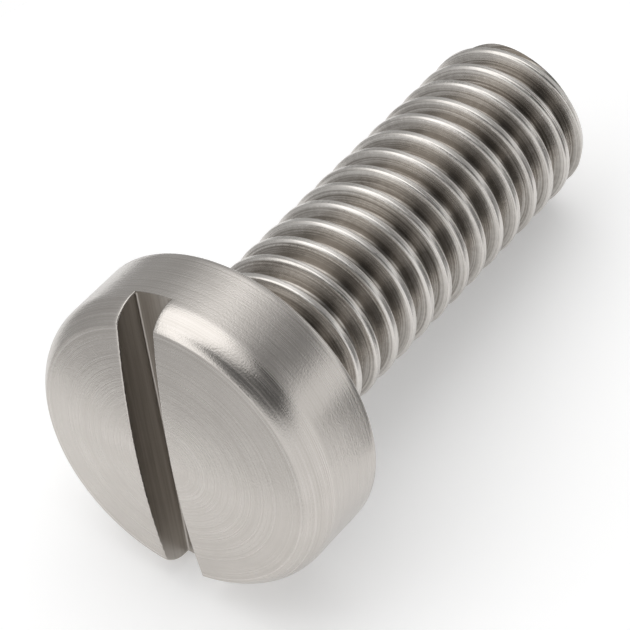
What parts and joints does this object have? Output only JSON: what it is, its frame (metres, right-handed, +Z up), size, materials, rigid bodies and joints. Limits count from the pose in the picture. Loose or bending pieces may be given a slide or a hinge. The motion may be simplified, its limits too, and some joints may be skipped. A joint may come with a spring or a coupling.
{
  "type": "slotted pan head machine screw",
  "caption": "Stainless machine screw with a crowned pan head, a straight screwdriver slot and a right-hand thread that runs up to the head.",
  "frame": {"origin": "middle of the footprint, on the surface that the screw lies on", "axes": "+Z up; the screw lies on its side with the thread towards +X and the head towards -X, its axis sloping down to the thread; +Y across"},
  "size_m": [0.0202, 0.01, 0.0103],
  "materials": {
    "stainless_steel": "satin turned head, smooth rolled thread"
  },
  "bodies": {
    "root": {"screw": "stainless_steel"}
  },
  "joints": []
}
